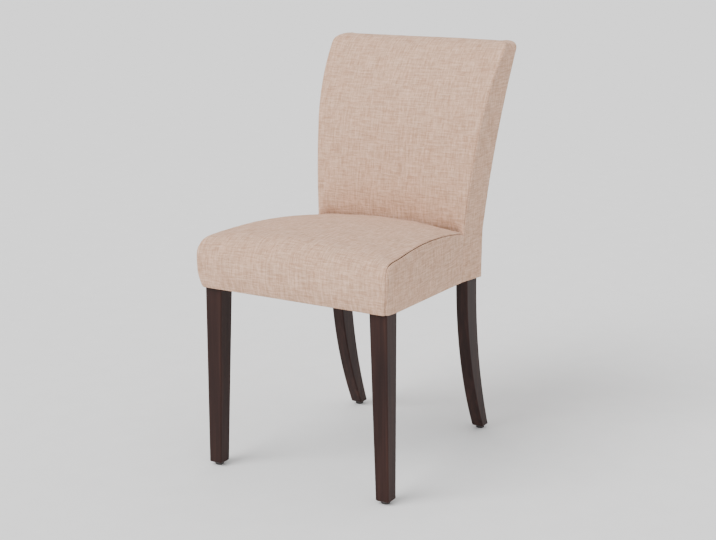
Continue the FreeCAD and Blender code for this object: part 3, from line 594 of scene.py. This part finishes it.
def sewn(piece, free, *replaced):
    mesh = piece.data
    mesh.materials.clear()
    mesh.materials.append(linen)
    gaps = mesh.attributes.new("from_seam", "FLOAT", "POINT")
    gaps.data.foreach_set("value", free.reshape(-1).astype(np.float32))
    bpy.ops.object.select_all(action="DESELECT")
    piece.select_set(True)
    bpy.context.view_layer.objects.active = piece
    smooth = piece.modifiers.new("smooth", "SUBSURF")
    smooth.levels = 1
    smooth.render_levels = 1
    bpy.ops.object.modifier_apply(modifier="smooth")
    uneven(piece)
    walled(piece, cloth_thickness)
    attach(piece, "root")
    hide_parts(*replaced)


linen, shader = plain_material("linen_cloth", roughness=0.92)
shader.inputs["Sheen Weight"].default_value = 0.08
shader.inputs["Sheen Roughness"].default_value = 0.5
shader.inputs["Specular IOR Level"].default_value = 0.15
threads = []
for turned in (False, True):
    for across, along, seed in ((380, 30, 0.0), (880, 90, 3.7), (230, 24, 9.1)):
        scale = (along, across, 1) if turned else (across, along, 1)
        threads.append(mottling(linen, "UV", scale, detail=3.0, location=(seed, 2 * seed, 0),
                                Roughness=0.6))
total = threads[0]
for thread in threads[1:]:
    total = combined(linen, "ADD", total, thread)
thread_mean = combined(linen, "MULTIPLY", total, 1 / len(threads))
blotches = mottling(linen, "UV", (26, 26, 1), detail=3.0)
cloth_tone = colours(linen, thread_mean, (0.44, (0.455, 0.262, 0.168)),
                     (0.50, (0.60, 0.372, 0.255)), (0.56, (0.74, 0.492, 0.360)))
patch_tone = colours(linen, blotches, (0.35, (0.95, 0.965, 0.97)), (0.65, (1.0, 1.0, 1.0)))
joined_to(linen, multiplied(linen, cloth_tone, patch_tone), shader.inputs["Base Color"])
woven = combined(linen, "ADD", *both_threads(linen, "UV", scale=260.0, distortion=2.5))
relieved(linen, shader, combined(linen, "MULTIPLY", woven, thread_mean), strength=0.45,
         distance=0.0006)

seat_rows = [("front", share) for share in (0, 0.12, 0.28, 0.45, 0.62, 0.8)]
seat_rows += [("upright", share) for share in (0.0, 0.2, 0.4, 0.6, 0.8)]
seat_rows += [("roll", share / 7) for share in range(7)]
seat_rows += [("top", share / 42) for share in range(43)]
seat_rows += [("top", share) for share in (1.33, 1.67, 2, 3)]
width_guess = 0.22


def seam_half(stretch, share):
    """Half the width of the seat at the seam, for a place along its outline."""
    x = width_guess
    for _ in range(4):
        depth, height = seat_outline(x, stretch, share)
        x = float(seat_half_width(depth, height)) - seam_inset(seat_edge, square)
    return x


form = []
for stretch, share in seat_rows:
    rings = ring_steps(seat_edge, *even_rings)
    widths = panel_widths(seam_half(stretch, share), rings, count=50)
    form.append([(x, *seat_outline(x, stretch, share)) for x in widths])
flat = unrolled(form)
form = np.array(form) - (0, half_depth, 0)

leg_clearance = 0.008


def beside_leg(place, low, high, near, far):
    """Width of a turned-under hem: near beside a leg, between two places, and far elsewhere."""
    rise = min(max((place - low + leg_clearance) / leg_clearance, 0), 1)
    fall = min(max((high + leg_clearance - place) / leg_clearance, 0), 1)
    return far + (near - far) * (rise * fall)


front_hem = np.array([beside_leg(abs(x), low=0.181, high=0.230, near=0.007, far=0.024)
                      for x in form[0, :, 0]])
seat_seams = [("left", seat_edge, square), ("right", seat_edge, square)]
points, flat, free = tailored(form, flat, seat_seams, front_hem)
seat_panel = cloth_sheet("seat_panel", points, flat)
pressed_out(seat_panel, free)
sewn(seat_panel, free, "seat_top_cover", "seat_wadding", "seat_foam")

# Seat sides: a flat panel of the same cloth on each side, sewn to the seat panel round the front
# corner and along the top, and to the boxing of the back behind. Its hem turns under the rail.

side_length = 0.386
side_height = 0.100
side_rear_rings = (0.012, 0.005, 0.002, 0)
rear_start = 0.381
seam_step = 0.001
rear_step = 0.0005
last_gap = 0.001
join_radius = 0.003
join_angle = math.radians(4)
thin_inset = 0.0015
thin_cap = 0.002


def outline_seam(stretch, share):
    """Depth and height of the seat's seam: its outline, moved in by the seam's inset."""
    x = seam_half(stretch, share)
    before = seat_outline(x, stretch, share - seam_step)
    after = seat_outline(x, stretch, share + seam_step)
    along = unit(np.subtract(after, before))
    inwards = np.array([along[1], -along[0]])
    return np.array(seat_outline(x, stretch, share)) + inwards * seam_inset(seat_edge, square)


def even_line(points, shares):
    """Places at shares of a line's length."""
    points = np.array(points)
    length = np.append(0, np.linalg.norm(np.diff(points, axis=0), axis=1).cumsum())
    return np.stack([np.interp(np.array(shares) * length[-1], length, points[:, axis])
                     for axis in (0, 1)], axis=1)


def sewn_on_both_sides(name, replaced, points, flat, free):
    """Finishes a sheet of the right side, and its mirror image on the left."""
    for side, mirrored in (("right", False), ("left", True)):
        if mirrored:
            points = points[:, ::-1] * (-1, 1, 1)
            flat = flat[:, ::-1] * (-1, 1)
            free = free[:, ::-1]
        sheet = cloth_sheet(name + side, points, flat)
        pressed_out(sheet, free, thin_inset, thin_cap)
        sewn(sheet, free, replaced + side)


front_seam = [outline_seam("front", share / 12) for share in range(12)]
front_seam += [outline_seam("upright", share / 12) for share in range(12)]
front_seam += [outline_seam("roll", 0.5 * share / 12) for share in range(13)]
top_seam = [outline_seam("roll", 0.5 + 0.5 * share / 12) for share in range(12)]
top_seam += [outline_seam("top", share / 60) for share in range(61)]
top_seam = [place for place in top_seam
            if place[0] < back_front(back_base_half, place[1]) - last_gap]
last_height = top_seam[-1][1]
rear_end = last_height - rear_step
top_seam.append(np.array([back_front(back_base_half, last_height), rear_end]))
rear_heights = [rear_start + share * (rear_end - rear_start) for share in np.linspace(0, 1, 30)]
rear_seam = [(back_front(back_base_half, height), height) for height in rear_heights]
bottom_line = [(depth, hem_height(depth))
               for depth in np.linspace(front_seam[0][0], rear_seam[0][0], 40)]
bottom_line[0] = tuple(front_seam[0])
rear_seam[0] = bottom_line[-1]
side_rings = ring_steps(seat_edge, *even_rings)
front_shares = [step / side_length for step in side_rings]
rear_shares = [1 - step / side_length for step in side_rear_rings]
u_shares = front_shares + spread(front_shares[-1], rear_shares[0], step=0.0235) + rear_shares
low_shares = [0, 0.02, 0.06]
high_shares = [1 - step / side_height for step in side_rings][::-1]
v_shares = low_shares + spread(low_shares[-1], high_shares[0], step=0.085) + high_shares
bottom, top = even_line(bottom_line, u_shares), even_line(top_seam, u_shares)
left, right = even_line(front_seam, v_shares), even_line(rear_seam, v_shares)
u = np.array(u_shares)[None, :, None]
v = np.array(v_shares)[:, None, None]
flat = ((1 - v) * bottom[None] + v * top[None] + (1 - u) * left[:, None] + u * right[:, None]
        - (1 - u) * (1 - v) * bottom[0] - u * (1 - v) * bottom[-1] - (1 - u) * v * top[0]
        - u * v * top[-1])
width = seat_half_width(flat[..., 0], flat[..., 1])
form = np.stack([width, flat[..., 0] - half_depth, flat[..., 1]], axis=2)
side_hem = np.array([beside_leg(depth, low=0.010, high=0.062, near=0.0012, far=0.022)
                     for depth in flat[0, :, 0]])
side_seams = [("left", seat_edge, square), ("top", seat_edge, square),
              ("right", join_radius, join_angle)]
points, flat, free = tailored(form, flat, side_seams, side_hem)
sewn_on_both_sides("seat_side_", "seat_side_cover_", points, flat, free)

# Inside back: one panel that starts in the crease behind the seat, climbs the crowned inside of
# the back, rolls over the top and ends in a seam just down the back of it.

back_edge = 0.006
rear_edge = 0.0035
corner_height = 0.875
corner_radius = 0.019
flare_start = 0.484
flare_run = 0.391
flare_out = 0.0332
lowest_height = 0.472
roll_start = 0.324
crease_depth = 0.009
crease_top = 0.528
crease_run = 0.034
crease_fade = 0.020
back_roll_radius = 0.415
back_roll_top = 0.879
nose_rise = 0.015
back_top = 0.894
rear_centre = 0.56844
rear_radius = 0.010
rear_turn = 0.354
over_seam = ("top", 0.003, 0.02)
edge_x = 0.19


def back_half_width(height):
    """Half the width of the back: straight beside the seat, flared above, with rounded corners."""
    rise = max(min(height, corner_height + corner_radius) - corner_height, 0)
    flare = back_base_half + min(max(height - flare_start, 0), flare_run) * flare_out / flare_run
    return flare - corner_radius + math.sqrt(max(corner_radius ** 2 - rise ** 2, 0))


def corner_half_angle(slope, turn_up):
    """Half the angle between a sloping front or rear surface and the side, round a top corner."""
    return math.acos(min(max(math.sin(slope) * math.sin(turn_up), 0), 1)) / 2


def back_outline(x, stretch, share):
    """Depth, height and slope of the back's inside, top and rear edge at a width."""
    radius = crowned_radius(x)
    lowest = math.asin((lowest_height - back_centre_height) / radius)
    main_end = math.asin(roll_start / radius)
    if stretch == "main":
        angle = lowest + share * (main_end - lowest)
        height = back_centre_height + radius * math.sin(angle)
        drawn_in = crease_depth * (max(crease_top - height, 0) / crease_run) ** 2
        drawn_in *= min(max(back_base_half - abs(x), 0) / crease_fade, 1)
        return back_centre_depth - radius * math.cos(angle) + drawn_in, height, angle
    roll_depth = back_centre_depth - (radius - back_roll_radius) * math.cos(main_end)
    roll_height = back_centre_height + (radius - back_roll_radius) * math.sin(main_end)
    roll_end = math.asin((back_roll_top - roll_height) / back_roll_radius)
    if stretch == "roll":
        angle = main_end + share * (roll_end - main_end)
        return (roll_depth - back_roll_radius * math.cos(angle),
                roll_height + back_roll_radius * math.sin(angle), angle)
    nose = nose_rise / (1 - math.sin(roll_end))
    nose_depth = roll_depth - (back_roll_radius - nose) * math.cos(roll_end)
    if stretch == "nose":
        angle = roll_end + share * (math.pi / 2 - roll_end)
        return nose_depth - nose * math.cos(angle), back_top - nose * (1 - math.sin(angle)), angle
    if stretch == "flat":
        return nose_depth + share * (rear_centre - nose_depth), back_top, math.pi / 2
    angle = math.pi / 2 + share * (math.pi / 2 + rear_turn)
    return (rear_centre - rear_radius * math.cos(angle),
            back_top - rear_radius + rear_radius * math.sin(angle), angle)


back_rows = [("main", share / 80) for share in range(17)]
back_rows += [("main", 0.2 + share / 29) for share in range(1, 23)]
back_rows += [("roll", share / 20) for share in range(20)]
back_rows += [("nose", share / 10) for share in range(10)]
back_rows += [("flat", share) for share in (0, 0.1, 0.22, 0.36, 0.5, 0.65, 0.8, 0.92)]
back_rows += [("rear", share / 6) for share in range(7)]
form = []
radii = []
angles = []
for stretch, share in back_rows:
    depth, height, slope = back_outline(edge_x, stretch, share)
    turn_up = math.asin(min(max(height - corner_height, 0) / corner_radius, 1))
    half_angle = corner_half_angle(slope, turn_up)
    radius = rear_edge if stretch == "rear" else back_edge
    if stretch == "flat":
        radius = back_edge + (rear_edge - back_edge) * share
    half = back_half_width(height) - float(seam_inset(radius, half_angle))
    widths = panel_widths(half, ring_steps(back_edge, *even_rings), count=46)
    form.append([(x, *back_outline(x, stretch, share)[:2]) for x in widths])
    radii.append(radius)
    angles.append(half_angle)
flat = unrolled(form)
form = np.array(form) - (0, half_depth, 0)
inside_seams = [("left", radii, angles), ("right", radii, angles), over_seam]
points, flat, free = tailored(form, flat, inside_seams)
inside_back = cloth_sheet("inside_back_panel", points, flat)
pressed_out(inside_back, free)
sewn(inside_back, free, "back_front_cover", "back_wadding", "back_foam")

# Boxing: a strip of cloth on each side of the back, from the hem, past the seat, up and round the
# top corner, sewn to the inside back in front and to the outside back behind.

strip_start = 0.3775
flat_seam_top = 0.490
crease_bottom = 0.473
rear_curve_radius = 1.462
rear_edge_start = 0.8805
rear_edge_rise = 0.0135
full_strip = 0.045
lifted = (1, 0.75, 0.5, 0.25)
stretches = ("main", "roll", "nose")


def rear_depth(height):
    """Depth of the outside back, and of the rounded edge above it."""
    if height > rear_edge_start:
        rise = height - (back_top - rear_radius)
        return rear_centre + math.sqrt(max(rear_radius ** 2 - rise ** 2, 0))
    return back_centre_depth - math.sqrt(rear_curve_radius ** 2 - (height - back_centre_height) ** 2)


def front_edge(x, height):
    """Depth and slope of the back's inside, roll or nose at a height."""
    if height < crease_bottom:
        return back_front(x, height), 0.0
    low = 0.0
    high = float(len(stretches))
    for _ in range(40):
        middle = (low + high) / 2
        part = min(int(middle), len(stretches) - 1)
        depth, found, slope = back_outline(x, stretches[part], middle - part)
        low, high = (middle, high) if found < height else (low, middle)
    return depth, slope


strip_rows = [(strip_start + share * (corner_height - strip_start), 0)
              for share in np.linspace(0, 1, 56)]
strip_rows += [(corner_height, turn_up) for turn_up in np.linspace(0, math.pi / 2, 13)[1:]]
form = []
front_angles = []
rear_angles = []
for base, turn_up in strip_rows:
    height = base + corner_radius * math.sin(turn_up)
    x = back_half_width(base) - corner_radius * (1 - math.cos(turn_up))
    front_depth, slope = front_edge(edge_x, height)
    beside_seat = height < flat_seam_top
    front_angle = join_angle if beside_seat else corner_half_angle(slope, turn_up)
    edge_radius = join_radius if beside_seat else back_edge
    rear_slope = min(max(height - rear_edge_start, 0) / rear_edge_rise, 1) * math.pi / 2
    rear_angle = corner_half_angle(rear_slope, turn_up)
    first = front_depth + float(seam_inset(edge_radius, front_angle))
    last = rear_depth(height) - float(seam_inset(rear_edge, rear_angle))
    room = min((last - first) / full_strip, 1)
    starts = [first + step * room for step in ring_steps(back_edge, 0.008, 0.013)]
    ends = [last - step * room for step in ring_steps(rear_edge, 0.006, 0.012)][::-1]
    depths = starts + spread(starts[-1], ends[0], (ends[0] - starts[-1]) / 9) + ends
    form.append([(x, depth, height) for depth in depths])
    front_angles.append(front_angle)
    rear_angles.append(rear_angle)
flat = unrolled(form, across=1)
form = np.array(form)
hem_line = hem_height(form[0, :, 1])
for row, share in enumerate(lifted):
    form[row, :, 2] += (hem_line - strip_start) * share
form -= (0, half_depth, 0)
strip_hem = np.array([beside_leg(depth, low=0.425, high=0.492, near=0.005, far=0.022)
                      for depth in form[0, :, 1] + half_depth])
strip_seams = [("left", back_edge, front_angles), ("right", rear_edge, rear_angles), over_seam]
points, flat, free = tailored(form, flat, strip_seams, strip_hem)
sewn_on_both_sides("back_boxing_", "back_side_cover_", points, flat, free)

# Outside back: one plain panel over a thin lining and board, from the hem up to the seam behind
# the top edge. It curves backwards as it climbs.

low_rows = [0.376, 0.3785]
high_rows = [0.872, 0.8755, 0.878, 0.8795, 0.8805]
panel_top = 0.88049
form = []
for height in low_rows + spread(low_rows[-1], high_rows[0], step=0.0105) + high_rows:
    half = back_half_width(height) - seam_inset(rear_edge, square)
    widths = panel_widths(half, ring_steps(rear_edge, 0.006, 0.012, 0.020), count=44)
    form.append([(-x, rear_depth(min(height, panel_top)), height) for x in widths])
flat = unrolled(form, facing=-1)
form = np.array(form) - (0, half_depth, 0)
rear_hem = np.array([beside_leg(abs(x), low=0.150, high=0.183, near=0.005, far=0.022)
                     for x in form[0, :, 0]])
outside_seams = [("left", rear_edge, square), ("right", rear_edge, square), over_seam]
points, flat, free = tailored(form, flat, outside_seams, rear_hem)
outside_back = cloth_sheet("outside_back_panel", points, flat)
pressed_out(outside_back, free, thin_inset, thin_cap)
sewn(outside_back, free, "back_rear_cover", "back_rear_lining")

# Dust cover: thin black non-woven cloth, stapled under the rails inside the turned hems and cut
# away round the legs. It hangs a little in the middle.

dust_thickness = 0.0006
dust_gap = 0.0006
dust_sag = 0.003
dust_length = 0.454
dust_edge = 0.013
front_notch = 0.0605
front_notch_half = 0.1815
rear_notch = 0.432
rear_notch_half = 0.1515
front_rows = [0.0215, 0.030, 0.040, 0.050, 0.0600, 0.0612]
rear_rows = [0.4312, 0.4324, 0.445, 0.460, 0.4755]
points = []
for depth in front_rows + spread(front_rows[-1], rear_rows[0], step=0.0185) + rear_rows:
    half = float(seat_half_width(depth, hem_height(depth))) - dust_edge
    if depth < front_notch:
        half = front_notch_half
    if depth > rear_notch:
        half = rear_notch_half
    along = math.sin((depth - front_rows[0]) / dust_length * math.pi)
    row = []
    for share in np.linspace(-1, 1, 25):
        sag = dust_sag * (math.cos(share * math.pi / 2) * along)
        row.append((-share * half, depth - half_depth, hem_height(depth) - dust_gap - sag))
    points.append(row)
points = np.array(points)
dust_cover = cloth_sheet("dust_cover_cloth", points, points[..., :2] * (-1, 1))
non_woven, shader = plain_material("dust_cloth", roughness=0.95)
matted = mottling(non_woven, "UV", (900, 900, 1), detail=4.0)
dust_tone = colours(non_woven, matted, (0.3, (0.012, 0.012, 0.013)), (0.7, (0.032, 0.032, 0.034)))
joined_to(non_woven, dust_tone, shader.inputs["Base Color"])
relieved(non_woven, shader, matted, strength=0.3, distance=0.0003)
dust_cover.data.materials.clear()
dust_cover.data.materials.append(non_woven)
walled(dust_cover, dust_thickness)
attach(dust_cover, "root")
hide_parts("dust_cover")
